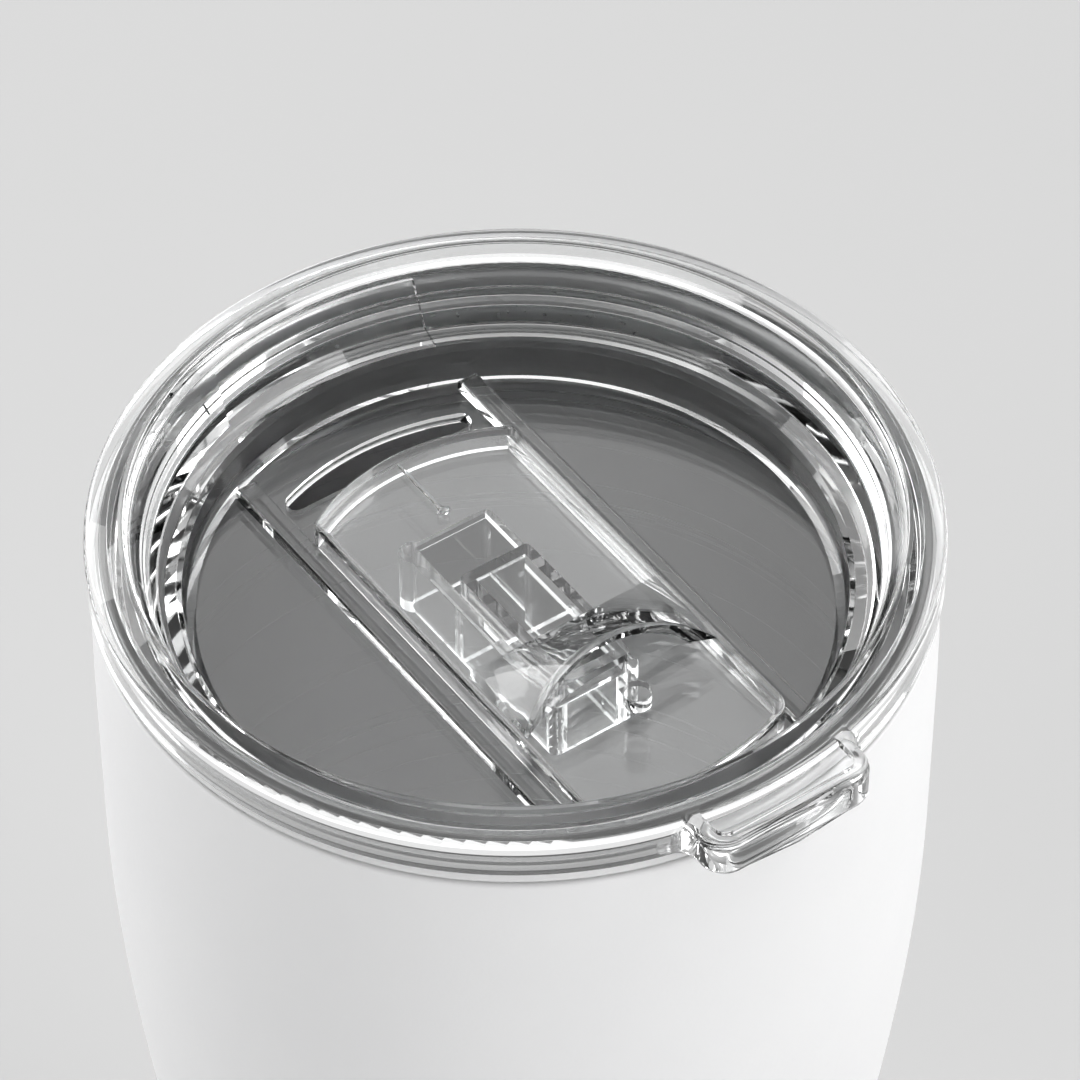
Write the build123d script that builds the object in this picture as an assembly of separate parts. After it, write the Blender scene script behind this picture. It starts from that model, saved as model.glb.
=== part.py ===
from build123d import *
import os

# Insulated tumbler: a double-walled vacuum cup with a clear press-in lid and a sliding closure.
# Millimetres. The origin is the centre of the base, +Z is up, the lift tab points along -Y
# and the drink opening lies towards +Y. The closure is modelled fully open.

# --- Cup ---------------------------------------------------------------------------------
body_height = 170.0        # base to the top of the steel lip
foot_radius = 33.0         # outside, just above the foot
mouth_radius = 42.75       # inside of the neck, where the gasket seals
wall = 0.5                 # sheet thickness of both vessels
shoulder_inset = 0.5       # the cup's shoulder is this far inside the lid's flange
belly_swell = 0.35         # how much wider the belly is than the shoulder
vacuum_gap = 2.6           # between the two vessels at the belly
weld_gap = 0.05            # between welded sheets that lie side by side
lip_thickness = 0.6        # the rolled edge on top of the neck
lip_round = 0.25
lip_height = 2.6           # straight bare steel above the shoulder
shoulder_bevel = 1.2       # height of the slope from the shoulder to the lip
taper_start = 4.0          # where the foot ends and the long taper begins
belly_below_lip = 38.0     # the taper has reached the belly radius this far under the lip
shoulder_run = 16.4        # the belly curves in to the shoulder over this height
neck_depth = 12.0          # straight inside of the cup's mouth
neck_blend = 8.0           # height over which the inner cup narrows below its neck
foot_round = 3.0
foot_flat = 1.1
foot_lip_height = 2.6
inner_floor = 8.5          # underside of the inner cup
inner_corner = 8.0

# --- Vacuum base, getter and cover -------------------------------------------------------
base_thickness = 0.6
cover_thickness = 0.5
cover_recess = 1.2         # the cover's face above the surface that the cup stands on
cover_gap = 0.05
cover_rim = 0.5
cover_dish_radius = 20.0
cover_dish_depth = 0.35
dimple_radius = 4.5
dimple_height = 1.6
port_radius = 0.8
seal_radius = 2.2
seal_thickness = 0.7
getter_offset = 14.0
getter_radius = 4.0
getter_height = 1.4
getter_pan_wall = 0.4
getter_pan_height = 1.6
foil_gap = 0.05
foil_thickness = 0.15

# --- Lid ---------------------------------------------------------------------------------
lid_seat_gap = 0.1         # between the lid's flange and the steel lip
flange_thickness = 2.1
flange_round = 0.7
skirt_depth = 4.5          # from the flange's top edge to the skirt's bottom edge
skirt_gap = 0.4            # between the skirt and the steel lip
skirt_wall = 1.3
crest_inset = 0.9          # the raised edge around the well, inside the gasket's fins
crest_height = 1.5
well_depth = 12.5          # from the flange's top edge to the floor
floor_bevel = 0.8          # where the well wall meets the floor
floor_thickness = 1.5
throat_inset = 1.2         # the well narrows by this from its crest to its throat
throat_depth = 1.5
wall_slope = 2.2           # and by this down the sloping wall
step_height = 5.2          # foot of the sloping wall, above the floor
step_inset = 2.4
ledge_height = 3.5
ledge_inset = 0.5
ledge_bevel = 0.6
crest_shelf = 1.7          # width of the crest's outer slope
crest_shoulder = 0.5       # width of the rounding at its top
plug_clearance = 0.55      # between the gasket's two fins and the neck
plug_wall = 1.7
fin_thickness = 1.0
fin_relief = 0.5
fin_top = 5.4              # top of the upper fin, below the flange's top edge
groove_height = 3.0
groove_depth = 2.3
plug_corner = 1.0
lid_edge_round = 0.2       # every other turned edge of the lid
spout_margin = 1.0         # the channel in the well wall is this much wider than the opening
spout_depth = 0.5
drink_inset = 5.6          # the arc of the drink opening's far edge, inside the floor's edge
drink_length = 4.6         # from its straight near edge to the top of the arc
drink_margin = 1.1         # the opening is this much narrower than the closure, each side
drink_corner = 1.2

# --- Lift tab ----------------------------------------------------------------------------
tab_width = 20.6
tab_length = 4.2           # beyond the flange
tab_drop = 4.9             # underside, below the flange's top edge
tab_rise = 0.15
tab_corner = 3.0
tab_edge_round = 0.9
tab_top_round = 1.4
tab_root_round = 2.2       # the hollow curves where the tab meets the flange
tab_recess_depth = 0.9
tab_recess_border = 1.6
tab_recess_length = 4.7

# --- Guides for the closure --------------------------------------------------------------
rail_gap = 0.3             # between the closure and each rail
rail_width = 2.5
rail_height = 1.5
rail_round = 0.4
rail_end_inset = 2.0       # the near ends run into the foot of the well wall
rail_overrun = 5.4         # the far ends pass the opening's straight edge by this much
slot_half_width = 4.6      # inside of the box that guides the stem
slot_near = 13.9
box_wall = 1.15
box_depth = 7.7            # below the underside of the lid's floor
box_corner = 1.0
box_edge_round = 0.3
corner_post_radius = 1.6

# --- Closure -----------------------------------------------------------------------------
slider_half_width = 13.1
slider_height = 3.7        # top of the plate above the floor
slider_thickness = 1.4
slider_near_gap = 1.1      # between its near arc and the foot of the well wall
slider_far_gap = 1.8       # from its far arc to the drink opening, when open
slider_cover = 1.6         # how far it passes the opening's far edge, when shut
slider_far_radius = 25.0
slider_near_corner = 3.0
slider_far_corner = 0.9
slider_edge_round = 0.45
rim_width = 1.0
rim_floor_gap = 0.15
crease_y = -8.3            # where the ramp to the thumb rest begins
thumb_mid_y = -16.5
thumb_end_y = -19.5
thumb_margin = 0.8         # from the ends of the thumb rest to the plate's sides
thumb_height = 4.8
thumb_wall = 1.5
gate_y = -22.0
gate_radius = 1.5
gate_height = 1.8
stem_gap = 0.1             # running fit of the stem in its box, on every side
stem_length = 18.0
stem_wall = 1.3
stem_round = 0.5
hook_gap = 0.15
hook_height = 1.2
hook_reach = 0.95
hook_chamfer = 0.6
hook_length = 9.0

# --- Gasket ------------------------------------------------------------------------------
gasket_gap = 0.1           # between the gasket and the neck
gasket_fit = 0.05          # between the gasket and its groove
gasket_lip_height = 0.7
gasket_valley = 1.1
gasket_tip = 0.25          # how much the edges of each sealing lip are drawn back

# --- Worked out from the sizes above -----------------------------------------------------
shell_neck_radius = mouth_radius + wall + weld_gap
lip_radius = shell_neck_radius + wall
flange_radius = lip_radius + skirt_gap + skirt_wall
shoulder_radius = flange_radius - shoulder_inset
belly_radius = shoulder_radius + belly_swell
belly_end = body_height - belly_below_lip
shoulder_z = body_height - lip_height - shoulder_bevel
foot_lip_radius = foot_radius - foot_round - foot_flat - wall

lid_top = body_height + lid_seat_gap + flange_thickness
lid_floor = lid_top - well_depth
lid_under = lid_floor - floor_thickness
fin_radius = mouth_radius - plug_clearance
groove_radius = fin_radius - groove_depth
crest_radius = fin_radius - crest_inset
throat_radius = crest_radius - throat_inset
step_radius = throat_radius - wall_slope
ledge_radius = step_radius - step_inset
floor_radius = ledge_radius - ledge_inset
tab_reach = flange_radius + tab_length
tab_recess_start = tab_reach - tab_recess_border - tab_recess_length

drink_radius = floor_radius - drink_inset
drink_near = drink_radius - drink_length
drink_half_width = slider_half_width - drink_margin
spout_half_width = drink_half_width + spout_margin
rail_inner = slider_half_width + rail_gap
rail_near = floor_radius - rail_end_inset
rail_far = drink_near + rail_overrun
slider_near_radius = floor_radius - slider_near_gap
slider_far = drink_near - slider_far_gap
slider_top = lid_floor + slider_height
plate_under = slider_top - slider_thickness
thumb_half_width = slider_half_width - thumb_margin
travel = drink_radius - slider_far + slider_cover
slot_far = travel + stem_length + 2 * stem_gap - slot_near
box_bottom = lid_under - box_depth


def lathe(*edges):
    """Turn a closed outline, drawn in the XZ plane, once round the Z axis."""
    return revolve(make_face(Plane.XZ * Curve(edges)), Axis.Z, 360)


def turned(points):
    """Turn a closed outline of straight lines round the Z axis."""
    return revolve(make_face(Plane.XZ * Polyline(*points, close=True)), Axis.Z, 360)


def taper(inset):
    """The cup's side: an S-shaped curve, upright at both ends, moved inwards by inset."""
    low = foot_radius - inset
    high = belly_radius - inset
    third = (belly_end - taper_start) / 3
    return Bezier(
        (low, taper_start), (low, taper_start + third),
        (high, belly_end - third), (high, belly_end),
    )


def block(x_range, y_range, z_range):
    """A box between two X, two Y and two Z values."""
    corners = list(zip(x_range, y_range, z_range))
    size = [high - low for low, high in (x_range, y_range, z_range)]
    centre = [(low + high) / 2 for low, high in zip(*corners)]
    return Pos(*centre) * Box(*size)


def make_outer_shell():
    """The coated outer vessel, from its rolled foot to the weld under the steel lip."""
    top = body_height - lip_thickness
    belly_stop = shoulder_z - shoulder_run
    foot_r = foot_radius - foot_round
    bevel_top = shoulder_z + shoulder_bevel
    outer = [
        (shoulder_radius, shoulder_z),
        (lip_radius, bevel_top),
        (lip_radius, top),
        (shell_neck_radius, top),
        (shell_neck_radius, bevel_top - wall),
        (shoulder_radius - wall, shoulder_z - wall),
    ]
    half = shoulder_run / 2
    outside = [
        taper(0),
        Line((belly_radius, belly_end), (belly_radius, belly_stop)),
        Bezier((belly_radius, belly_stop), (belly_radius, belly_stop + half), outer[0]),
        Polyline(*outer),
    ]
    inside_r = belly_radius - wall
    inside = [
        Bezier(outer[-1], (inside_r, belly_stop + half), (inside_r, belly_stop)),
        Line((inside_r, belly_stop), (inside_r, belly_end)),
        taper(wall),
    ]
    round_in = foot_round - wall
    foot = [
        Line((foot_radius - wall, taper_start), (foot_radius - wall, foot_round)),
        RadiusArc((foot_radius - wall, foot_round), (foot_r, wall), round_in),
        Polyline(
            (foot_r, wall), (foot_lip_radius + wall, wall),
            (foot_lip_radius + wall, foot_lip_height), (foot_lip_radius, foot_lip_height),
            (foot_lip_radius, 0), (foot_r, 0),
        ),
        RadiusArc((foot_r, 0), (foot_radius, foot_round), -foot_round),
        Line((foot_radius, foot_round), (foot_radius, taper_start)),
    ]
    return lathe(*outside, *inside, *foot)


def vessel(inset, neck_radius, floor_z, corner):
    """A solid of the space inside one surface of the inner cup, rounded at its bottom."""
    side_r = belly_radius - inset
    neck_z = body_height - neck_depth
    blend_z = neck_z - neck_blend
    half = neck_blend / 2
    solid = lathe(
        Line((0, taper_start), (foot_radius - inset, taper_start)),
        taper(inset),
        Line((side_r, belly_end), (side_r, blend_z)),
        Bezier(
            (side_r, blend_z), (side_r, blend_z + half),
            (neck_radius, neck_z - half), (neck_radius, neck_z),
        ),
        Polyline(
            (neck_radius, neck_z), (neck_radius, body_height), (0, body_height), (0, taper_start),
        ),
    )
    big = 2 * belly_radius
    solid -= block((-big, big), (-big, big), (0, floor_z))
    return fillet(solid.edges().sort_by(Axis.Z)[0], corner)


def make_inner_cup():
    """The polished inner vessel, with the rolled lip that closes the mouth."""
    inset = wall + vacuum_gap
    cup = vessel(inset, mouth_radius + wall, inner_floor, inner_corner)
    cup += Pos(0, 0, body_height - lip_thickness / 2) * Cylinder(lip_radius, lip_thickness)
    cup -= vessel(inset + wall, mouth_radius, inner_floor + wall, inner_corner - wall)
    rim_edges = cup.edges().group_by(Axis.Z)[-1]
    return fillet(rim_edges, lip_round)


def make_radiation_foil():
    """The thin foil wrapped round the inner cup, inside the vacuum."""
    near = wall + vacuum_gap - foil_gap
    low = inner_floor + inner_corner
    sleeve = lathe(
        taper(near),
        Line((belly_radius - near, belly_end), (belly_radius - near + foil_thickness, belly_end)),
        taper(near - foil_thickness),
        Line((foot_radius - near + foil_thickness, taper_start), (foot_radius - near, taper_start)),
    )
    big = 2 * belly_radius
    return sleeve - block((-big, big), (-big, big), (0, low))


def make_vacuum_base():
    """The pressed plate that closes the vacuum, with the dimple and hole it is pumped through."""
    low = foot_lip_height
    high = low + base_thickness
    edge = foot_lip_radius + wall
    slope = dimple_height
    return turned([
        (port_radius, low + dimple_height), (dimple_radius - slope, low + dimple_height),
        (dimple_radius, low), (edge, low), (edge, high), (dimple_radius, high),
        (dimple_radius - slope, high + dimple_height), (port_radius, high + dimple_height),
    ])


def make_vacuum_seal():
    """The bead of solder glass that plugs the pumping hole from below."""
    top = foot_lip_height + dimple_height
    return Pos(0, 0, top - seal_thickness / 2) * Cylinder(seal_radius, seal_thickness)


def make_base_cover():
    """The brushed disc under the cup, set back from the foot, with a shallow dished middle."""
    low = cover_recess
    high = low + cover_thickness
    edge = foot_lip_radius - cover_gap
    dish = cover_dish_radius
    return turned([
        (0, low + cover_dish_depth), (dish, low + cover_dish_depth),
        (dish + cover_dish_depth, low), (edge, low), (edge, foot_lip_height),
        (edge - cover_rim, foot_lip_height), (edge - cover_rim, high),
        (dish + cover_dish_depth, high), (dish, high + cover_dish_depth),
        (0, high + cover_dish_depth),
    ])


def make_getter_pan():
    """The little pan, welded to the vacuum base, that holds the getter."""
    z = foot_lip_height + base_thickness
    outer_r = getter_radius + getter_pan_wall
    pan = Cylinder(outer_r, getter_pan_height, align=(Align.CENTER, Align.CENTER, Align.MIN))
    hollow = Cylinder(getter_radius, getter_pan_height, align=(Align.CENTER, Align.CENTER, Align.MIN))
    return Pos(getter_offset, 0, z) * (pan - Pos(0, 0, getter_pan_wall) * hollow)


def make_getter_pellet():
    """The tablet that soaks up the last gas in the vacuum."""
    z = foot_lip_height + base_thickness + getter_pan_wall
    pellet = Cylinder(
        getter_radius - foil_gap, getter_height, align=(Align.CENTER, Align.CENTER, Align.MIN)
    )
    return Pos(getter_offset, 0, z) * pellet


def lid_ring():
    """The turned form of the lid: skirt, flange, crest, sloping well wall, floor and gasket fins."""
    top = lid_top
    edge = flange_radius
    skirt_r = lip_radius + skirt_gap
    flange_under = top - flange_thickness
    fin_low = fin_top + fin_thickness
    groove_low = fin_low + groove_height
    plug_low = groove_low + fin_thickness
    plug_r = ledge_radius + plug_wall
    outline = [
        (edge, top),
        (crest_radius + crest_shelf, top + crest_height / 5),
        (crest_radius + crest_shoulder, top + crest_height - crest_shoulder / 3),
        (crest_radius, top + crest_height),
        (throat_radius, top - throat_depth),
        (step_radius, lid_floor + step_height),
        (ledge_radius + ledge_bevel, lid_floor + ledge_height + ledge_bevel),
        (ledge_radius, lid_floor + ledge_height),
        (floor_radius, lid_floor),
        (0, lid_floor), (0, lid_under),
        (plug_r - plug_corner, lid_under), (plug_r, lid_under + plug_corner),
        (plug_r + plug_corner, top - plug_low),
        (fin_radius, top - plug_low), (fin_radius, top - groove_low),
        (groove_radius, top - groove_low), (groove_radius, top - fin_low),
        (fin_radius, top - fin_low), (fin_radius, top - fin_top),
        (fin_radius - fin_relief, top - fin_top + fin_relief), (fin_radius, flange_under),
        (skirt_r, flange_under), (skirt_r, top - skirt_depth), (edge, top - skirt_depth),
    ]
    section = make_face(Plane.XZ * Polyline(*outline, close=True))
    rim = section.vertices().sort_by_distance((edge, 0, top))[0]
    section = fillet(rim, flange_round)
    foot = section.vertices().sort_by_distance((floor_radius, 0, lid_floor))[0]
    section = chamfer(foot, floor_bevel)
    sharp = section.vertices().filter_by(
        lambda corner: 1 < corner.X < edge - 2 * flange_round
        and Vector(corner.X - floor_radius, 0, corner.Z - lid_floor).length > 2 * floor_bevel
    )
    sharp += section.vertices().sort_by_distance((edge, 0, top - skirt_depth))[0:1]
    return revolve(fillet(sharp, lid_edge_round), Axis.Z, 360)


def tab_solid():
    """The lift tab, outside the skirt, with a finger panel sunk into its top."""
    tongue = Pos(0, -tab_reach / 2) * Rectangle(tab_width, tab_reach)
    plan = Circle(flange_radius) + tongue
    on_flange = plan.vertices().filter_by(
        lambda corner: corner.Y < 0 and abs(corner.to_tuple()[0]) > 1
        and Vector(corner).length < flange_radius + lid_edge_round
    )
    plan = fillet(on_flange, tab_root_round)
    plan = fillet(plan.vertices().group_by(Axis.Y)[0], tab_corner)
    reach = tab_width + 2 * tab_root_round
    plan &= Pos(0, -tab_reach) * Rectangle(reach, 2 * (tab_reach - crest_radius))
    plan -= Circle(crest_radius + crest_shelf)
    tab = Pos(0, 0, lid_top - tab_drop) * extrude(plan, tab_drop + tab_rise)
    front = tab.edges().filter_by(Plane.XY).filter_by(lambda edge: edge.center().Y < -flange_radius)
    tab = fillet(front.group_by(Axis.Z)[0], tab_edge_round)
    front = tab.edges().filter_by(Plane.XY).filter_by(lambda edge: edge.center().Y < -flange_radius)
    tab = fillet(front.group_by(Axis.Z)[-1], tab_top_round)
    panel = Pos(0, -tab_recess_start - tab_recess_length / 2) * RectangleRounded(
        tab_width - 2 * tab_recess_border, tab_recess_length, tab_corner - tab_recess_border
    )
    tab -= Pos(0, 0, lid_top + tab_rise - tab_recess_depth) * extrude(panel, tab_recess_depth)
    hole = Cylinder(lip_radius + skirt_gap, tab_drop, align=(Align.CENTER, Align.CENTER, Align.MIN))
    return tab - Pos(0, 0, lid_top - flange_thickness - tab_drop) * hole


def drink_opening():
    """The slot in the floor that is drunk through: straight near edge, curved far edge."""
    half = drink_half_width
    plan = Rectangle(2 * half, drink_radius, align=(Align.CENTER, Align.MIN)) & Circle(drink_radius)
    plan -= Pos(0, drink_near / 2) * Rectangle(4 * half, drink_near)
    end_height = plan.vertices().group_by(Axis.Y)[-1][0].Y - drink_near
    plan = fillet(plan.vertices(), min(drink_corner, 0.48 * end_height))
    return Pos(0, 0, lid_under) * extrude(plan, floor_thickness)


def spout_cut():
    """A shallow smooth channel in the well wall behind the drink opening."""
    shift = spout_depth
    top = lid_top
    ledge_z = lid_floor + ledge_height + ledge_bevel
    skin = turned([
        (ledge_radius, top - throat_depth), (throat_radius + shift, top - throat_depth),
        (step_radius + shift, lid_floor + step_height), (ledge_radius + ledge_bevel + shift, ledge_z),
        (ledge_radius, ledge_z),
    ])
    half = spout_half_width
    return skin & block((-half, half), (0, flange_radius), (lid_floor, lid_top))


def guide_box():
    """The chimney under the floor that guides the closure's stem, without its hole."""
    half = slot_half_width + box_wall
    y_range = (-slot_near - box_wall, slot_far + box_wall)
    box = block((-half, half), y_range, (box_bottom, lid_under))
    box = fillet(box.edges().filter_by(Axis.Z), box_corner)
    box = fillet(box.edges().group_by(Axis.Z)[0], box_edge_round)
    post = Cylinder(corner_post_radius, box_depth)
    return box + Pos(-half + box_corner, y_range[1] - box_corner, (box_bottom + lid_under) / 2) * post


def make_lid_body():
    """The clear moulded lid."""
    lid = lid_ring() + tab_solid() - spout_cut() - drink_opening()
    for side in (-1, 1):
        x_range = sorted((side * rail_inner, side * (rail_inner + rail_width)))
        z_range = (lid_floor - floor_thickness / 2, lid_floor + rail_height)
        rail = block(x_range, (-rail_near, rail_far), z_range)
        lid += fillet(rail.edges().group_by(Axis.Z)[-1], rail_round)
    lid += guide_box()
    half = slot_half_width
    return lid - block((-half, half), (-slot_near, slot_far), (box_bottom, lid_floor))


def make_lid_gasket():
    """The silicone ring in the lid's groove, with two sealing lips."""
    high = lid_top - fin_top - fin_thickness - gasket_fit
    low = high - groove_height + 2 * gasket_fit
    inner_r = groove_radius + gasket_fit
    outer_r = mouth_radius - gasket_gap
    valley_r = outer_r - gasket_valley
    lip = gasket_lip_height
    tip_r = outer_r - gasket_tip
    valley = lip + gasket_valley / 3
    return turned([
        (inner_r, low), (tip_r, low), (outer_r, low + lip / 2), (tip_r, low + lip),
        (valley_r, low + valley), (valley_r, high - valley), (tip_r, high - lip),
        (outer_r, high - lip / 2), (tip_r, high), (inner_r, high),
    ])


def slider_outline():
    """The closure's plan: straight sides, an arc at each end and rounded corners."""
    half = slider_half_width
    near = slider_near_radius
    plan = Pos(0, (slider_far - near) / 2) * Rectangle(2 * half, near + slider_far)
    plan &= Circle(near)
    far = Pos(0, slider_far - slider_far_radius) * Circle(slider_far_radius)
    plan &= far + Pos(0, -near / 2) * Rectangle(4 * half, near)
    near_corners = plan.vertices().group_by(Axis.Y)[0]
    plan = fillet(near_corners, slider_near_corner)
    return fillet(plan.vertices().group_by(Axis.Y)[-1], slider_far_corner)


def thumb_wedge(half, back, base_z, height):
    """A solid under straight rulings that rise from the crease to an arched, bowed crest.

    half is half its width, back moves its crest towards the crease, base_z is its flat
    underside and height is the crest's height above that at the middle.
    """
    left = Vector(-half, thumb_end_y + back, base_z)
    right = Vector(half, thumb_end_y + back, base_z)
    crest = ThreePointArc(left, (0, thumb_mid_y + back, base_z + height), right)
    foot = ThreePointArc(left, (0, thumb_mid_y + back, base_z), right)
    crease = Line((-half, crease_y, base_z), (half, crease_y, base_z))
    sides = [Line(left, crease @ 0), Line(right, crease @ 1)]
    ramp = Face.make_surface_from_curves(crease.edge(), crest.edge())
    face = Face.make_surface_from_curves(foot.edge(), crest.edge())
    base = make_face([foot.edge(), crease.edge(), *[side.edge() for side in sides]]).face()
    return Solid(Shell([ramp, face, base]))


def make_slider():
    """The clear closure: plate, rim, thumb rest, moulding gate, and the stem with its hooks."""
    outline = slider_outline()
    plate = Pos(0, 0, plate_under) * extrude(outline, slider_thickness)
    plate = fillet(plate.edges().group_by(Axis.Z)[-1], slider_edge_round)
    rim = outline - offset(outline, -rim_width)
    rim_depth = plate_under - lid_floor - rim_floor_gap
    slider = plate + Pos(0, 0, plate_under - rim_depth) * extrude(rim, rim_depth)
    slider += thumb_wedge(thumb_half_width, 0, slider_top, thumb_height)
    hollow = thumb_height + slider_thickness - thumb_wall
    slider -= thumb_wedge(thumb_half_width - thumb_wall, thumb_wall, plate_under, hollow)
    gate = Cylinder(gate_radius, gate_height, align=(Align.CENTER, Align.CENTER, Align.MIN))
    slider += Pos(0, gate_y, slider_top) * gate
    half = slot_half_width - stem_gap
    near = -slot_near + stem_gap
    y_range = (near, near + stem_length)
    stem_low = box_bottom - hook_gap - hook_height
    stem = block((-half, half), y_range, (stem_low, plate_under))
    stem = fillet(stem.edges().filter_by(Axis.Z), stem_round)
    for side in (-1, 1):
        x_range = sorted((side * half, side * (half + hook_reach)))
        middle = sum(y_range) / 2
        hook_y = (middle - hook_length / 2, middle + hook_length / 2)
        hook = block(x_range, hook_y, (stem_low, stem_low + hook_height))
        tip = hook.edges().group_by(Axis.Z)[0].sort_by(Axis.X)[-1 if side > 0 else 0]
        stem += chamfer(tip, hook_chamfer)
    hollow_y = (y_range[0] + stem_wall, y_range[1] - stem_wall)
    inner = half - stem_wall
    stem -= block((-inner, inner), hollow_y, (stem_low, plate_under))
    return slider + stem


pieces = {
    "outer_shell": make_outer_shell,
    "inner_cup": make_inner_cup,
    "radiation_foil": make_radiation_foil,
    "vacuum_base": make_vacuum_base,
    "vacuum_seal": make_vacuum_seal,
    "base_cover": make_base_cover,
    "getter_pan": make_getter_pan,
    "getter_pellet": make_getter_pellet,
    "lid_body": make_lid_body,
    "lid_gasket": make_lid_gasket,
    "slider": make_slider,
}

os.makedirs("parts", exist_ok=True)
for name, make in pieces.items():
    export_step(make(), f"parts/{name}.step")
print(f"closure travel {travel:.2f} mm")
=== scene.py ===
# %% [markdown]
# # A vacuum tumbler with a clear sliding lid
#
# The cup is two thin steel vessels welded at the mouth, with nothing between them. The outer one
# wears a fine white powder coat, the inner one is bare polished steel. A clear moulded lid is
# pressed into the mouth, and a clear closure slides in it. Round pieces are turned here from an
# outline, exactly as the metal is spun, and the clear mouldings keep their machined shape and get
# a clear plastic that bends light.

# %% Load the fixed frame
import math
import bmesh
import bpy
import numpy as np
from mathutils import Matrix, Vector
from mathutils.kdtree import KDTree


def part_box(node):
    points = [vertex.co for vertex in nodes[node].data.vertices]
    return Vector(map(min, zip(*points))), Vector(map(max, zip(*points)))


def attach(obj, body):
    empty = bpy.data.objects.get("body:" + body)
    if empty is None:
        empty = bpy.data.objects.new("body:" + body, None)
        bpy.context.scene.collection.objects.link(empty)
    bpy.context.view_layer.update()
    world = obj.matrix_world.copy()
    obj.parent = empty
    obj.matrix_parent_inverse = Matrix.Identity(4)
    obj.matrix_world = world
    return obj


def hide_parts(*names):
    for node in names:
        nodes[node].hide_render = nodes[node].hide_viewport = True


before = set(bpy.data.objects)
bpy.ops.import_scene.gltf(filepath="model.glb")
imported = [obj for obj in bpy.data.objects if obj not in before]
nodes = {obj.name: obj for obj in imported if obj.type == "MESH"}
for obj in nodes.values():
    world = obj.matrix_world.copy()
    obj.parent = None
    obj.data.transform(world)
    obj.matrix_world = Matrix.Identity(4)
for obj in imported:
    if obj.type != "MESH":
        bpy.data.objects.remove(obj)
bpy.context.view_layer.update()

MM = 0.001
print("fixed frame:", sorted(nodes))

# %% [markdown]
# The big sizes are read from the frame, so that every surface made here lands where the machined
# piece is. The small ones, such as a sheet's thickness, are given once in millimetres.

# %% Sizes taken from the frame
shell_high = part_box("outer_shell")[1]
cup_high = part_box("inner_cup")[1]
lid_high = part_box("lid_body")[1]
gasket_low, gasket_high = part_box("lid_gasket")
cover_low, cover_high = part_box("base_cover")

belly_radius = shell_high.x
lip_radius = cup_high.x
lip_top = cup_high.z
gasket_radius = gasket_high.x
cover_radius = cover_high.x
crest_top = lid_high.z
print(f"belly {belly_radius / MM:.1f} mm, lip {lip_radius / MM:.1f} mm")
print(f"height {crest_top / MM:.1f} mm")

# %% [markdown]
# A turned surface is a function of two parameters. The first runs along an outline of radius and
# height, the second round the axis: x is radius times cosine, y is radius times sine, z is height.
# Both are worked out at once as arrays. Where an outline touches the axis, the ring of points
# there shrinks to one point, and the faces round it are triangles.

# %% Turning an outline
def turn(name, outline, steps=256):
    """Each outline point (r, z) becomes a ring: x = r cos t, y = r sin t, t from 0 to one turn."""
    r, z = np.asarray(outline, float).T
    t = np.arange(steps) * 2 * math.pi / steps
    x, y = np.outer(r, np.cos(t)), np.outer(r, np.sin(t))
    points = np.stack([x, y, np.repeat(z[:, None], steps, axis=1)], axis=-1)
    rows = len(r)
    on_axis = r < 1e-9
    index = np.arange(rows * steps).reshape(rows, steps)
    index[on_axis] = index[on_axis, :1]
    here = index
    after = np.roll(index, -1, axis=0)
    quads = np.stack([here, np.roll(here, -1, axis=1), np.roll(after, -1, axis=1), after], axis=-1)
    if on_axis.any():
        quads = quads[:-1]
    quads = quads.reshape(-1, 4)
    used, flat = np.unique(quads, return_inverse=True)
    quads = flat.reshape(-1, 4)
    vertices = points.reshape(-1, 3)[used]
    faces = [list(dict.fromkeys(face)) for face in quads.tolist()]
    mesh = bpy.data.meshes.new(name)
    mesh.from_pydata(vertices, [], [face for face in faces if len(face) > 2])
    mesh.polygons.foreach_set("use_smooth", np.ones(len(mesh.polygons), bool))
    mesh.update()
    piece = bpy.data.objects.new(name, mesh)
    bpy.context.scene.collection.objects.link(piece)
    print(f"{name}: {len(vertices)} points, {len(mesh.polygons)} faces")
    return piece


# %% [markdown]
# No real edge is perfectly sharp: sheet is rolled and plastic cools with a small radius, and it is
# that radius that catches the light. So every corner of an outline is replaced by a short curve
# that leaves along one side and arrives along the other. Two extra points beside each curve keep
# the flat parts flat when the shading is smoothed.

# %% Rounding the corners of an outline
LONGEST_REACH = 0.4
GUARD = 0.12


def soften(corners, size, parts=5):
    """Corner p becomes (1-s)^2 A + 2s(1-s) p + s^2 B, with A and B on its sides, a size away."""
    corners = np.asarray(corners, float)
    size = np.broadcast_to(np.asarray(size, float), len(corners))
    s = np.linspace(0, 1, parts)[:, None]
    out = []
    for i, p in enumerate(corners):
        if size[i] <= 0:
            out.append(p[None])
            continue
        back = corners[i - 1] - p
        on = corners[(i + 1) % len(corners)] - p
        reach = min(size[i], LONGEST_REACH * min(np.linalg.norm(back), np.linalg.norm(on)))
        back, on = back / np.linalg.norm(back), on / np.linalg.norm(on)
        start, stop = p + back * reach, p + on * reach
        guard = GUARD * reach
        curve = (1 - s) ** 2 * start + 2 * s * (1 - s) * p + s ** 2 * stop
        out += [(start + back * guard)[None], curve, (stop + on * guard)[None]]
    return np.concatenate(out)


def smooth_step(t):
    """0 at t = 0, 1 at t = 1, level at both ends: three t squared less two t cubed."""
    return t * t * (3 - 2 * t)


# %% [markdown]
# ## Outer vessel
#
# The outer vessel is a tube of half-millimetre sheet. It stands on a rolled foot, swells in one
# long S-shaped taper to its belly, and draws in again at a small shoulder, so that the lid's skirt
# can sit round the bare lip. The taper is a smooth step between the two radii.

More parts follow.
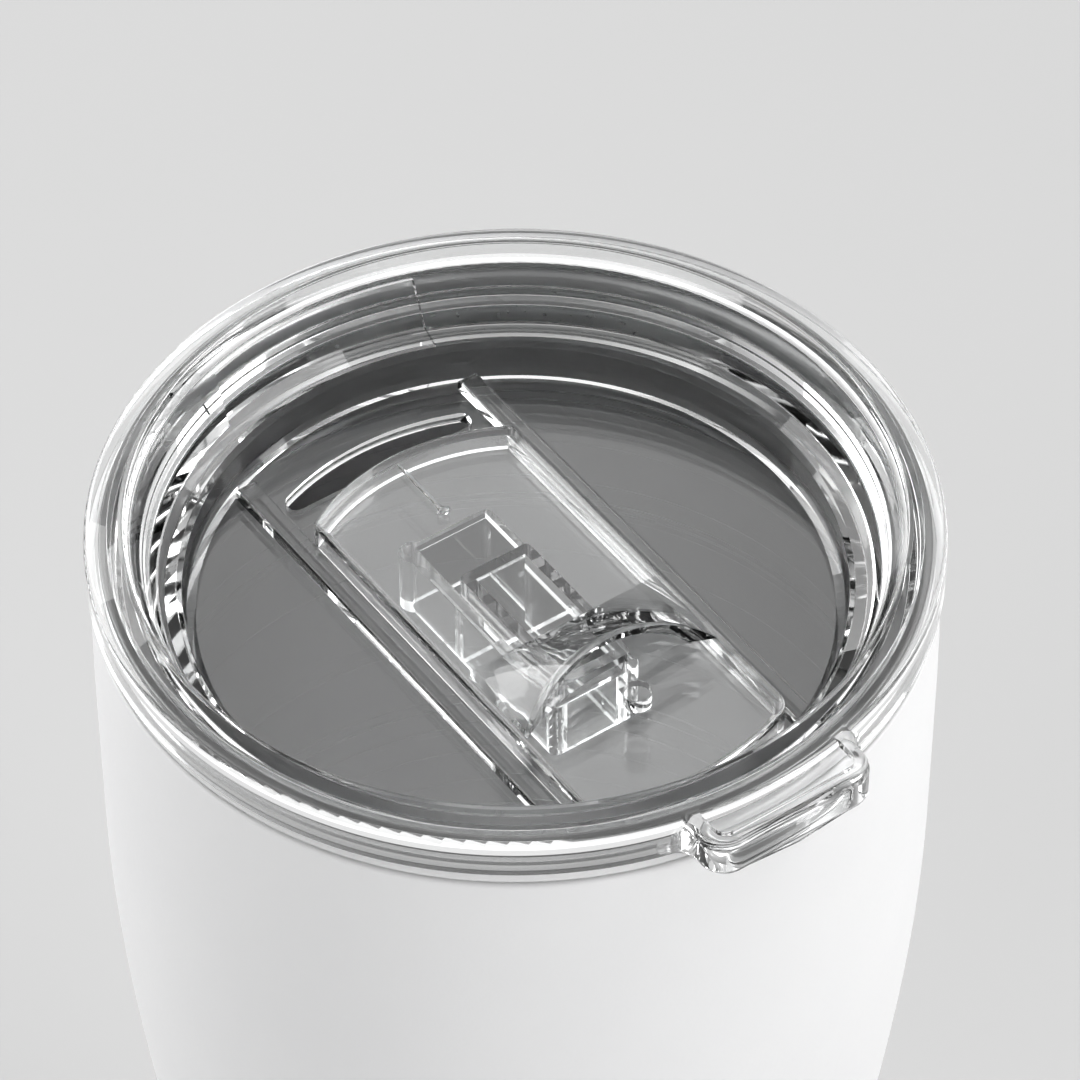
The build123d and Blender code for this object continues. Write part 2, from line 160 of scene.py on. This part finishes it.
# %% The side of the cup
SHEET = 0.5 * MM
FOOT_RADIUS = 33.0 * MM
TAPER_START = 4.0 * MM
BELLY_BELOW_LIP = 38.0 * MM
VACUUM_GAP = 2.6 * MM
VESSEL_STEPS = 320
belly_start = lip_top - BELLY_BELOW_LIP


def side(inset, count=60):
    """Up the taper, moved inwards by inset: the radius is a smooth step of the height."""
    t = np.linspace(0, 1, count)
    r = FOOT_RADIUS + (belly_radius - FOOT_RADIUS) * smooth_step(t) - inset
    return np.stack([r, TAPER_START + (belly_start - TAPER_START) * t], axis=1)


# %% Outline of the outer vessel
LIP_HEIGHT = 2.6 * MM
SHOULDER_BEVEL = 1.2 * MM
SHOULDER_RUN = 16.4 * MM
SHOULDER_DRAW = 0.35 * MM
FOOT_ROUND = 3.0 * MM
FOOT_LIP_RADIUS = 28.4 * MM
FOOT_LIP_HEIGHT = 2.6 * MM
ROLLED_EDGE = 0.6 * MM

shoulder_top = lip_top - LIP_HEIGHT
shoulder_z = shoulder_top - SHOULDER_BEVEL
shoulder_radius = belly_radius - SHOULDER_DRAW


def shoulder(inset, count=14):
    """From the belly to the shoulder: the radius draws in with the square of the height."""
    t = np.linspace(0, 1, count)
    low = shoulder_z - SHOULDER_RUN
    r = belly_radius - inset - SHOULDER_DRAW * t * t
    return np.stack([r, low + SHOULDER_RUN * t], axis=1)


def foot_curve(inset, count=10):
    """A quarter circle from under the foot out to the side, of the foot's radius less inset."""
    a = np.linspace(-math.pi / 2, 0, count)
    centre_r, centre_z = FOOT_RADIUS - FOOT_ROUND, FOOT_ROUND
    r = FOOT_ROUND - inset
    return np.stack([centre_r + r * np.cos(a), centre_z + r * np.sin(a)], axis=1)


outside = [foot_curve(0), side(0), shoulder(0)]
lip_seam = soften([
    (shoulder_radius, shoulder_z - 0.6 * MM), (shoulder_radius, shoulder_z),
    (lip_radius, shoulder_top), (lip_radius, lip_top - ROLLED_EDGE),
    (lip_radius - SHEET, lip_top - ROLLED_EDGE), (lip_radius - SHEET, shoulder_top - SHEET),
    (shoulder_radius - SHEET, shoulder_z - SHEET),
    (shoulder_radius - SHEET, shoulder_z - 0.8 * MM),
], [0, 0.4 * MM, 0.4 * MM, 0.05 * MM, 0.05 * MM, 0.3 * MM, 0.3 * MM, 0])
inside = [shoulder(SHEET)[::-1], side(SHEET)[::-1], foot_curve(SHEET)[::-1]]
foot_lip = soften([
    (FOOT_LIP_RADIUS + SHEET, SHEET), (FOOT_LIP_RADIUS + SHEET, FOOT_LIP_HEIGHT),
    (FOOT_LIP_RADIUS, FOOT_LIP_HEIGHT), (FOOT_LIP_RADIUS, 0),
], [0.15 * MM, 0.1 * MM, 0.1 * MM, 0.25 * MM])
shell_line = np.concatenate(outside + [lip_seam] + inside + [foot_lip])
shell = turn("coated_shell", shell_line, VESSEL_STEPS)

# %% [markdown]
# ## Inner vessel
#
# The inner vessel follows the outer one a few millimetres inside it. Its neck is straight, because
# the lid's gasket seals there, and its top is rolled outwards over the outer vessel and welded.

# %% Outline of the inner vessel
NECK_RADIUS = 42.75 * MM
NECK_DEPTH = 12.0 * MM
NECK_BLEND = 8.0 * MM
INNER_FLOOR = 8.5 * MM
INNER_CORNER = 8.0 * MM
BELOW_ROLL = 1.2 * MM


def wall_line(inset, neck, floor_z, corner):
    """From the axis along the floor, round the corner, up the taper and through the neck."""
    taper = side(inset, 90)
    taper = taper[taper[:, 1] > floor_z + corner]
    foot_r = taper[0, 0]
    a = np.linspace(-math.pi / 2, 0, 14)
    centre_r, centre_z = foot_r - corner, floor_z + corner
    bend = np.stack([centre_r + corner * np.cos(a), centre_z + corner * np.sin(a)], axis=1)
    flat = np.stack([np.linspace(0, centre_r, 12)[:-1], np.full(11, floor_z)], axis=1)
    t = np.linspace(0, 1, 16)
    low = lip_top - NECK_DEPTH - NECK_BLEND
    belly = belly_radius - inset
    blend = np.stack([belly + (neck - belly) * smooth_step(t), low + NECK_BLEND * t], axis=1)
    heights = np.linspace(low + NECK_BLEND, lip_top - BELOW_ROLL, 9)[1:]
    rise = np.stack([np.full(8, neck), heights], axis=1)
    return np.concatenate([flat, bend, taper, blend, rise])


inset = SHEET + VACUUM_GAP
inner_line = wall_line(inset + SHEET, NECK_RADIUS, INNER_FLOOR + SHEET, INNER_CORNER - SHEET)
outer_line = wall_line(inset, NECK_RADIUS + SHEET, INNER_FLOOR, INNER_CORNER)
rolled = soften([
    (NECK_RADIUS, lip_top), (lip_radius, lip_top), (lip_radius, lip_top - ROLLED_EDGE),
    (NECK_RADIUS + SHEET, lip_top - ROLLED_EDGE),
], [0.26 * MM, 0.26 * MM, 0.2 * MM, 0.05 * MM])
cup_line = np.concatenate([outer_line, rolled[::-1], inner_line[::-1]])
cup = turn("polished_cup", cup_line, VESSEL_STEPS)

# %% [markdown]
# ## Base cover and gasket
#
# The base cover is a pressed disc with a shallow dish that hides the plate of the vacuum seal.
# The gasket is a soft ring with two thin fins that bend against the neck. Both are turned too.

# %% Base cover
COVER_SHEET = 0.5 * MM
COVER_RIM = 0.5 * MM
DISH_RADIUS = 20.0 * MM
DISH_DEPTH = 0.35 * MM
low, top = cover_low.z, cover_high.z
upper = low + COVER_SHEET
cover_outline = soften([
    (0, low + DISH_DEPTH), (DISH_RADIUS, low + DISH_DEPTH), (DISH_RADIUS + DISH_DEPTH, low),
    (cover_radius, low), (cover_radius, top), (cover_radius - COVER_RIM, top),
    (cover_radius - COVER_RIM, upper), (DISH_RADIUS + DISH_DEPTH, upper),
    (DISH_RADIUS, upper + DISH_DEPTH), (0, upper + DISH_DEPTH),
], np.array([0, 0.3, 0.3, 0.2, 0.1, 0.1, 0.2, 0.3, 0.3, 0]) * MM)
cover = turn("spun_base_cover", cover_outline, 192)

# %% Gasket
GROOVE_RADIUS = 39.95 * MM
VALLEY = 1.1 * MM
LIP_TIP = 0.25 * MM
LIP_WIDE = 0.7 * MM
low, top = gasket_low.z, gasket_high.z
valley_r = gasket_radius - VALLEY
tip_r = gasket_radius - LIP_TIP
fall = LIP_WIDE + VALLEY / 3
gasket_outline = soften([
    (GROOVE_RADIUS, low), (tip_r, low),
    (gasket_radius, low + LIP_WIDE / 2), (tip_r, low + LIP_WIDE),
    (valley_r, low + fall), (valley_r, top - fall), (tip_r, top - LIP_WIDE),
    (gasket_radius, top - LIP_WIDE / 2), (tip_r, top), (GROOVE_RADIUS, top),
], 0.15 * MM)
gasket = turn("silicone_gasket", gasket_outline, 256)

# %% [markdown]
# ## Clear mouldings
#
# The lid is one clear moulding, and everything behind it is seen through its round walls. Round
# walls made of flat facets would break that view into stripes, so a copy of the machined mesh is
# joined up and made finer. Each long edge gets a new point at its middle, and where the edge lies
# on a turned wall that point is pushed out to the true circle: its radius, height and angle are
# the means of the two ends. The machined mesh knows which way its true surface faces at every
# corner of every facet, so those directions are carried along and halved in the same way.

# %% A finer copy of a machined mesh
TURNED = 0.025
LEVEL = 0.995
WELD_WITHIN = 0.0005 * MM
FOUND_WITHIN = 0.001 * MM


def is_turned(face):
    """True where a face belongs to a turned wall: no part of its normal runs round the axis."""
    centre = face.calc_center_median()
    r = math.hypot(centre.x, centre.y)
    across = abs(face.normal.x * centre.y - face.normal.y * centre.x) / max(r, 1e-9)
    return across < TURNED and abs(face.normal.z) < LEVEL


def polar_middle(p, q):
    """The point half way between two points in radius, angle and height."""
    r = (math.hypot(p.x, p.y) + math.hypot(q.x, q.y)) / 2
    middle = (p + q) / 2
    now = math.hypot(middle.x, middle.y)
    return middle.x * r / now, middle.y * r / now, middle.z


def finer_copy(name, node, longest, passes, inner):
    """Halve each edge of a turned wall that is longer than a length, passes times over."""
    source = nodes[node].data.copy()
    facing = np.zeros(len(source.loops) * 3)
    source.corner_normals.foreach_get("vector", facing)
    source.attributes.new("facing", "FLOAT_VECTOR", "CORNER").data.foreach_set("vector", facing)
    form = bmesh.new()
    form.from_mesh(source)
    bmesh.ops.remove_doubles(form, verts=form.verts, dist=WELD_WITHIN)
    for _ in range(passes):
        form.normal_update()
        long_edges, middles = [], []
        for edge in form.edges:
            p, q = edge.verts[0].co, edge.verts[1].co
            if edge.calc_length() < longest or min(math.hypot(*p.xy), math.hypot(*q.xy)) < inner:
                continue
            if any(is_turned(face) for face in edge.link_faces):
                long_edges.append(edge)
                middles.append(((p + q) / 2, polar_middle(p, q)))
        cut = bmesh.ops.subdivide_edges(form, edges=long_edges, cuts=1, use_grid_fill=False)
        tree = KDTree(len(middles))
        for i, (middle, _target) in enumerate(middles):
            tree.insert(middle, i)
        tree.balance()
        for item in cut["geom_inner"]:
            if isinstance(item, bmesh.types.BMVert):
                _, i, distance = tree.find(item.co)
                if distance < FOUND_WITHIN:
                    item.co = middles[i][1]
        bmesh.ops.triangulate(form, faces=[face for face in form.faces if len(face.verts) > 3])
    mesh = bpy.data.meshes.new(name)
    form.to_mesh(mesh)
    form.free()
    mesh.polygons.foreach_set("use_smooth", np.ones(len(mesh.polygons), bool))
    facing = np.zeros(len(mesh.loops) * 3)
    mesh.attributes["facing"].data.foreach_get("vector", facing)
    facing = facing.reshape(-1, 3)
    facing /= np.linalg.norm(facing, axis=1, keepdims=True)
    mesh.normals_split_custom_set(facing)
    mesh.attributes.remove(mesh.attributes["facing"])
    piece = bpy.data.objects.new(name, mesh)
    bpy.context.scene.collection.objects.link(piece)
    print(f"{name}: {len(mesh.polygons)} faces")
    return piece


LONGEST_EDGE = 1.3 * MM
ONLY_BEYOND = 30.0 * MM
clear_moulding = finer_copy("clear_lid_moulding", "lid_body", LONGEST_EDGE, 1, ONLY_BEYOND)

# %% [markdown]
# Molten plastic that flows round a core meets again behind it and leaves a fine raised line. On
# the closure it runs down the middle from the far edge to the stem, and ends in a small blob. The
# line is a half-round bead carried along a path, the blob is half of a flattened ball.

# %% Knit line on the closure
plate_top = crest_top - 10.25 * MM
KNIT_X = -0.6 * MM
knit_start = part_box("slider")[1].y - 1.6 * MM
KNIT_LENGTH = 9.4 * MM
BEAD = 0.26 * MM
BLOB = 0.85 * MM
BLOB_AT = 0.93
BLOB_SPREAD = 0.05
BEAD_HEIGHT = 0.55
SUNK = 0.03 * MM


def bead(u, v):
    """Along u, round v: the width swells from bead to blob near u = 1, and closes at the ends."""
    swell = BEAD + (BLOB - BEAD) * np.exp(-((u - BLOB_AT) / BLOB_SPREAD) ** 2)
    close = np.sqrt(np.clip(1 - (2 * u - 1) ** 24, 0, 1))
    width = swell * close
    x = KNIT_X + width * np.cos(v)
    y = knit_start - KNIT_LENGTH * u
    z = plate_top - SUNK + BEAD_HEIGHT * width * np.sin(v)
    return np.stack([x, y + 0 * x, z], axis=-1)


def tube(name, surface, rows, columns):
    """A closed tube from surface(u, v): u runs along it from 0 to 1, v once round it."""
    u = (1 - np.cos(np.linspace(0, math.pi, rows))) / 2
    v = np.arange(columns) * 2 * math.pi / columns
    points = surface(u[:, None], v[None, :]).reshape(-1, 3)
    index = np.arange(rows * columns).reshape(rows, columns)
    on = np.roll(index, -1, axis=1)
    quads = np.stack([index[:-1], index[1:], on[1:], on[:-1]], axis=-1).reshape(-1, 4)
    mesh = bpy.data.meshes.new(name)
    mesh.from_pydata(points, [], quads.tolist())
    form = bmesh.new()
    form.from_mesh(mesh)
    bmesh.ops.remove_doubles(form, verts=form.verts, dist=0.0002 * MM)
    bmesh.ops.recalc_face_normals(form, faces=form.faces)
    form.to_mesh(mesh)
    form.free()
    mesh.polygons.foreach_set("use_smooth", np.ones(len(mesh.polygons), bool))
    piece = bpy.data.objects.new(name, mesh)
    bpy.context.scene.collection.objects.link(piece)
    print(f"{name}: {len(mesh.polygons)} faces")
    return piece


knit_line = tube("knit_line", bead, 90, 16)

# %% [markdown]
# ## Materials
#
# Nothing on the cup is one flat colour: even a white coat has a fine grain, and turned steel has
# rings from the lathe. Every finish here is the Principled shader with noise that drives its tone
# and roughness. The noise reads Object coordinates, so it stays on its piece when the piece moves.

# %% A small kit for node materials
def new_material(name, **fixed):
    """A material with one Principled shader, whose constant values are set on its own sockets."""
    material = bpy.data.materials.new(name)
    material.use_nodes = True
    shader = material.node_tree.nodes["Principled BSDF"]
    for socket, value in fixed.items():
        shader.inputs[socket.replace("_", " ")].default_value = value
    return material, material.node_tree, shader


def add(tree, kind, **values):
    """A node of one kind, with its number sockets and properties set by name."""
    node = tree.nodes.new(kind)
    for key, value in values.items():
        socket = node.inputs.get(key.replace("_", " "))
        if socket is not None:
            socket.default_value = value
        else:
            setattr(node, key, value)
    return node


def object_noise(tree, scale, detail=3.0, roughness=0.5):
    """Noise on Object coordinates; scale counts its lumps in a metre."""
    where = tree.nodes.new("ShaderNodeTexCoord")
    noise = add(tree, "ShaderNodeTexNoise", Scale=scale, Detail=detail, Roughness=roughness)
    tree.links.new(where.outputs["Object"], noise.inputs["Vector"])
    return noise


def spread(tree, source, low, high, out_low=0.0, out_high=1.0):
    """Carry a value from one range to another."""
    node = add(tree, "ShaderNodeMapRange",
               From_Min=low, From_Max=high, To_Min=out_low, To_Max=out_high)
    tree.links.new(source, node.inputs["Value"])
    return node.outputs["Result"]


def bump(tree, shader, height, distance, strength=1.0):
    """Tilt the shading by a height; distance is the height of a full step, in metres."""
    node = add(tree, "ShaderNodeBump", Strength=strength, Distance=distance)
    tree.links.new(height, node.inputs["Height"])
    tree.links.new(node.outputs["Normal"], shader.inputs["Normal"])
    return node


def paint(tree, shader, noise, dark, light, low=0.3, high=0.7):
    """Base colour between two tones, as the noise goes from low to high."""
    value = spread(tree, noise.outputs["Fac"], low, high)
    ramp = tree.nodes.new("ShaderNodeValToRGB")
    ramp.color_ramp.elements[0].color = (*dark, 1)
    ramp.color_ramp.elements[1].color = (*light, 1)
    tree.links.new(value, ramp.inputs["Fac"])
    tree.links.new(ramp.outputs["Color"], shader.inputs["Base Color"])


def roughen(tree, shader, noise, smooth, rough, low=0.3, high=0.7):
    """Roughness between two values, as the noise goes from low to high."""
    value = spread(tree, noise.outputs["Fac"], low, high, smooth, rough)
    tree.links.new(value, shader.inputs["Roughness"])


def grey(level):
    """A neutral tone."""
    return level, level, level


# %% White powder coat
def powder_coat():
    """Baked powder: a white that hardly varies, with a fine grain that softens its gloss."""
    material, tree, shader = new_material("white_powder_coat", IOR=1.5)
    grain = object_noise(tree, 1500, 2.0)
    tone = object_noise(tree, 35, 4.0)
    paint(tree, shader, tone, (0.85, 0.85, 0.855), (0.875, 0.875, 0.878))
    roughen(tree, shader, grain, 0.42, 0.58)
    bump(tree, shader, grain.outputs["Fac"], 0.03 * MM, 0.6)
    return material


# %% Turned steel
def ring_noise(tree, across, along):
    """Noise that follows the lathe: it changes with radius and height, not round the axis."""
    where = tree.nodes.new("ShaderNodeTexCoord")
    part = tree.nodes.new("ShaderNodeSeparateXYZ")
    tree.links.new(where.outputs["Object"], part.inputs["Vector"])
    flat = tree.nodes.new("ShaderNodeCombineXYZ")
    tree.links.new(part.outputs["X"], flat.inputs["X"])
    tree.links.new(part.outputs["Y"], flat.inputs["Y"])
    radius = add(tree, "ShaderNodeVectorMath", operation="LENGTH")
    tree.links.new(flat.outputs["Vector"], radius.inputs[0])
    rings = tree.nodes.new("ShaderNodeCombineXYZ")
    tree.links.new(radius.outputs["Value"], rings.inputs["X"])
    tree.links.new(part.outputs["Z"], rings.inputs["Z"])
    noise = add(tree, "ShaderNodeTexNoise", Scale=across, Detail=along, Roughness=0.7)
    tree.links.new(rings.outputs["Vector"], noise.inputs["Vector"])
    return noise


def turned_steel(name, dark, light, rough, depth):
    """Steel with lathe rings of a given depth, in two tones that drift slowly over the surface."""
    material, tree, shader = new_material(name, Metallic=1.0)
    rings = ring_noise(tree, 1400, 5.0)
    cloud = object_noise(tree, 60, 4.0)
    paint(tree, shader, cloud, dark, light)
    roughen(tree, shader, rings, rough - 0.05, rough + 0.06)
    bump(tree, shader, rings.outputs["Fac"], depth, 0.5)
    return material


# %% Clear moulded plastic
def clear_plastic(name, tint, scale):
    """Plastic that bends light, with slow flow waves and a little dust that blurs it in specks."""
    material, tree, shader = new_material(
        name, Base_Color=(*tint, 1), Transmission_Weight=1.0, IOR=1.57)
    flow = object_noise(tree, scale, 2.0)
    specks = object_noise(tree, 900, 5.0)
    roughen(tree, shader, specks, 0.0, 0.06, 0.45, 0.8)
    bump(tree, shader, flow.outputs["Fac"], 0.012 * MM, 0.3)
    return material


# %% Silicone, foil, glass bead and getter
def silicone():
    """Cloudy rubber with a matt skin."""
    material, tree, shader = new_material(
        "clear_silicone", Base_Color=(0.93, 0.94, 0.94, 1), Transmission_Weight=0.8, IOR=1.41)
    matt = object_noise(tree, 700, 3.0)
    roughen(tree, shader, matt, 0.25, 0.4)
    bump(tree, shader, matt.outputs["Fac"], 0.02 * MM, 0.4)
    return material


def foil():
    """Thin bright foil, creased by hand as it is wrapped."""
    material, tree, shader = new_material("bright_foil", Metallic=1.0)
    crease = object_noise(tree, 120, 6.0)
    paint(tree, shader, crease, (0.78, 0.79, 0.8), grey(0.9))
    roughen(tree, shader, crease, 0.12, 0.3)
    bump(tree, shader, crease.outputs["Fac"], 0.4 * MM, 0.8)
    return material


def grainy(name, dark, light, metal, rough, lumps):
    """A plain grainy finish, with its lumps counted in a metre."""
    material, tree, shader = new_material(name, Metallic=metal)
    grain = object_noise(tree, lumps, 5.0)
    paint(tree, shader, grain, dark, light)
    roughen(tree, shader, grain, rough - 0.08, rough + 0.08)
    bump(tree, shader, grain.outputs["Fac"], 0.05 * MM, 0.6)
    return material


# %% Dress the pieces
def dress(piece, *materials):
    """Give a piece these materials and no others."""
    piece.data.materials.clear()
    for material in materials:
        piece.data.materials.append(material)


coat = powder_coat()
cup_steel = turned_steel("polished_cup_steel", (0.74, 0.74, 0.745), grey(0.8), 0.3, 0.002 * MM)
lip_steel = turned_steel("bare_lip_steel", grey(0.58), grey(0.66), 0.14, 0.005 * MM)
# The rolled top of the inner lip gets near-black steel: painted shade, standing in for the dark
# line seen under the lid's flange.
lip_shade_steel = turned_steel("lip_steel_painted_shade", grey(0.10), grey(0.22), 0.3, 0.01 * MM)
base_steel = turned_steel("spun_base_steel", grey(0.52), grey(0.64), 0.3, 0.02 * MM)
clear_lid = clear_plastic("clear_lid_plastic", (0.985, 0.99, 0.99), 90)
clear_slider = clear_plastic("clear_slider_plastic", (0.985, 0.99, 0.99), 110)
silicone_clear = silicone()
solder_glass = grainy("solder_glass", (0.03, 0.035, 0.03), (0.06, 0.065, 0.06), 0.0, 0.2, 500)
plain_sheet = grainy("plain_sheet", grey(0.45), grey(0.55), 1.0, 0.35, 900)
pressed_powder = grainy("pressed_powder", (0.16, 0.15, 0.15), (0.24, 0.23, 0.23), 0.6, 0.7, 2500)

dress(shell, coat, lip_steel)
dress(cup, cup_steel, lip_shade_steel)
dress(cover, base_steel)
dress(gasket, silicone_clear)
dress(clear_moulding, clear_lid)
dress(nodes["slider"], clear_slider)
dress(knit_line, clear_slider)
dress(nodes["vacuum_base"], base_steel)
dress(nodes["radiation_foil"], foil())
dress(nodes["vacuum_seal"], solder_glass)
dress(nodes["getter_pan"], plain_sheet)
dress(nodes["getter_pellet"], pressed_powder)
print("materials:", sorted(material.name for material in bpy.data.materials))

# %% The coat stops at the shoulder, and the lip is painted dark as shade under the lid's flange
COAT_EDGE = shoulder_top - 0.3 * MM
# Faces of the inner vessel above this height take the near-black steel, which is painted shade.
LIP_SHADE_EDGE = lip_top - 0.7 * MM


def second_material_above(piece, height):
    """Faces whose centre is above the height take the piece's second material."""
    centres = np.zeros(len(piece.data.polygons) * 3)
    piece.data.polygons.foreach_get("center", centres)
    above = (centres.reshape(-1, 3)[:, 2] > height).astype(np.int32)
    piece.data.polygons.foreach_set("material_index", above)
    piece.data.update()
    print(f"{piece.name}: {int(above.sum())} faces above {height / MM:.1f} mm")


second_material_above(shell, COAT_EDGE)
second_material_above(cup, LIP_SHADE_EDGE)

# %% Who rides on what
for piece, body, node, slot in (
    (shell, "cup", "outer_shell", "powder_coat"),
    (cup, "cup", "inner_cup", "cup_steel"),
    (cover, "cup", "base_cover", "base_steel"),
    (gasket, "lid", "lid_gasket", "silicone"),
    (clear_moulding, "lid", "lid_body", "clear_lid"),
):
    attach(piece, body)
    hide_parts(node)
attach(knit_line, "closure")

# %% [markdown]
# ## Floor, light and camera
#
# Clear plastic shows what stands round it, so the surroundings are built as carefully as the
# pieces. The world is bright behind the cup and dim in front, which draws dark edges on the near
# rim and bright ones on the far side. Four soft lamps shape the white coat, and the two low ones
# are hidden from reflections.

# %% Floor
def make_floor():
    """A flat square grid, large enough to fill the view from every side."""
    half = 4.0
    mesh = bpy.data.meshes.new("studio_floor")
    line = np.linspace(-half, half, 9)
    x, y = np.meshgrid(line, line)
    points = np.stack([x, y, np.zeros_like(x)], axis=-1).reshape(-1, 3)
    index = np.arange(81).reshape(9, 9)
    quads = np.stack([index[:-1, :-1], index[:-1, 1:], index[1:, 1:], index[1:, :-1]], axis=-1)
    mesh.from_pydata(points, [], quads.reshape(-1, 4).tolist())
    floor = bpy.data.objects.new("studio_floor", mesh)
    bpy.context.scene.collection.objects.link(floor)
    material, tree, shader = new_material("pale_paper", Roughness=0.9)
    tone = object_noise(tree, 6, 3.0)
    paint(tree, shader, tone, grey(0.495), grey(0.505), 0.2, 0.8)
    mesh.materials.append(material)
    return floor


make_floor()

# %% World
def studio_world():
    """Light from a direction d: darker at the horizon, brighter overhead, with one soft glow."""
    world = bpy.data.worlds.new("studio")
    bpy.context.scene.world = world
    world.use_nodes = True
    sky = world.node_tree
    where = sky.nodes.new("ShaderNodeTexCoord")
    split = sky.nodes.new("ShaderNodeSeparateXYZ")
    sky.links.new(where.outputs["Generated"], split.inputs["Vector"])
    rise = add(sky, "ShaderNodeMapRange",
               From_Min=0.0, From_Max=0.9, To_Min=HORIZON, To_Max=OVERHEAD)
    sky.links.new(split.outputs["Z"], rise.inputs["Value"])
    toward = add(sky, "ShaderNodeVectorMath", operation="DOT_PRODUCT")
    toward.inputs[1].default_value = direction(*GLOW_FROM)
    sky.links.new(where.outputs["Generated"], toward.inputs[0])
    glow = add(sky, "ShaderNodeMapRange", interpolation_type="SMOOTHSTEP",
               From_Min=math.cos(math.radians(GLOW_SPREAD)), From_Max=1.0, To_Min=0.0, To_Max=GLOW)
    sky.links.new(toward.outputs["Value"], glow.inputs["Value"])
    away = add(sky, "ShaderNodeVectorMath", operation="DOT_PRODUCT")
    away.inputs[1].default_value = direction(BRIGHT_SIDE, 0)
    sky.links.new(where.outputs["Generated"], away.inputs[0])
    dim = add(sky, "ShaderNodeMapRange", interpolation_type="SMOOTHSTEP",
              From_Min=-0.7, From_Max=0.4, To_Min=FRONT, To_Max=BACK)
    sky.links.new(away.outputs["Value"], dim.inputs["Value"])
    base = add(sky, "ShaderNodeMath", operation="MULTIPLY")
    sky.links.new(rise.outputs["Result"], base.inputs[0])
    sky.links.new(dim.outputs["Result"], base.inputs[1])
    total = add(sky, "ShaderNodeMath", operation="ADD")
    sky.links.new(base.outputs["Value"], total.inputs[0])
    sky.links.new(glow.outputs["Result"], total.inputs[1])
    sky.links.new(total.outputs["Value"], sky.nodes["Background"].inputs["Strength"])
    sky.nodes["Background"].inputs["Color"].default_value = (1, 1, 1, 1)


def direction(azimuth, elevation):
    """A unit vector towards a lamp: azimuth 0 is in front, along -Y, and 90 is on the +X side."""
    a, e = math.radians(azimuth), math.radians(elevation)
    return (math.sin(a) * math.cos(e), -math.cos(a) * math.cos(e), math.sin(e))


HORIZON, OVERHEAD = 0.35, 0.95
BRIGHT_SIDE, FRONT, BACK = 145.0, 0.24, 1.15
GLOW_FROM, GLOW_SPREAD, GLOW = (145.0, 46.0), 14.0, 0.6
studio_world()


# %% Lamps
def soft_box(name, azimuth, elevation, size, power, seen=True):
    """A square lamp facing the lid; one that is not seen only lights matt surfaces."""
    data = bpy.data.lights.new(name, "AREA")
    data.size = size
    data.energy = power
    lamp = bpy.data.objects.new(name, data)
    bpy.context.scene.collection.objects.link(lamp)
    toward = Vector(direction(azimuth, elevation))
    lamp.location = Vector((0, 0, crest_top)) + LAMP_DISTANCE * toward
    lamp.rotation_euler = toward.to_track_quat("Z", "Y").to_euler()
    lamp.visible_glossy = lamp.visible_transmission = seen
    return lamp


LAMP_DISTANCE = 1.6
soft_box("key_box", 70, 50, 0.9, 9.8)
soft_box("back_box", 195, 28, 1.3, 17)
soft_box("front_fill", 25, 14, 1.0, 13, seen=False)
soft_box("left_fill", -70, 14, 1.0, 7.6, seen=False)

# %% Camera
AZIMUTH, ELEVATION = -35.0, 45.7
DISTANCE = 0.600
LENS = 190.0
AIM_ABOVE_LIP = 2.2 * MM
AIM_RIGHT = 2.56 * MM
AIM_DOWN = 2.1 * MM
a = math.radians(AZIMUTH)
backward = Vector(direction(AZIMUTH, ELEVATION))
right = Vector((math.cos(a), math.sin(a), 0))
up = backward.cross(right)
lid_centre = Vector((0, 0, lip_top + AIM_ABOVE_LIP))
aim = lid_centre + right * AIM_RIGHT - up * AIM_DOWN
eye = lid_centre + backward * DISTANCE
view = bpy.data.cameras.new("view")
view.lens = LENS
view.sensor_width = 36.0
view.clip_start = 0.01
camera = bpy.data.objects.new("camera", view)
bpy.context.scene.collection.objects.link(camera)
camera.location = eye
camera.rotation_euler = (eye - aim).to_track_quat("Z", "Y").to_euler()
bpy.context.scene.camera = camera
print(f"camera {DISTANCE:.3f} m away, {LENS:.0f} mm lens")
bpy.context.scene.view_settings.view_transform = "Standard"
bpy.context.scene.cycles.max_bounces = 24
bpy.context.scene.cycles.transmission_bounces = 24
bpy.context.scene.cycles.glossy_bounces = 16
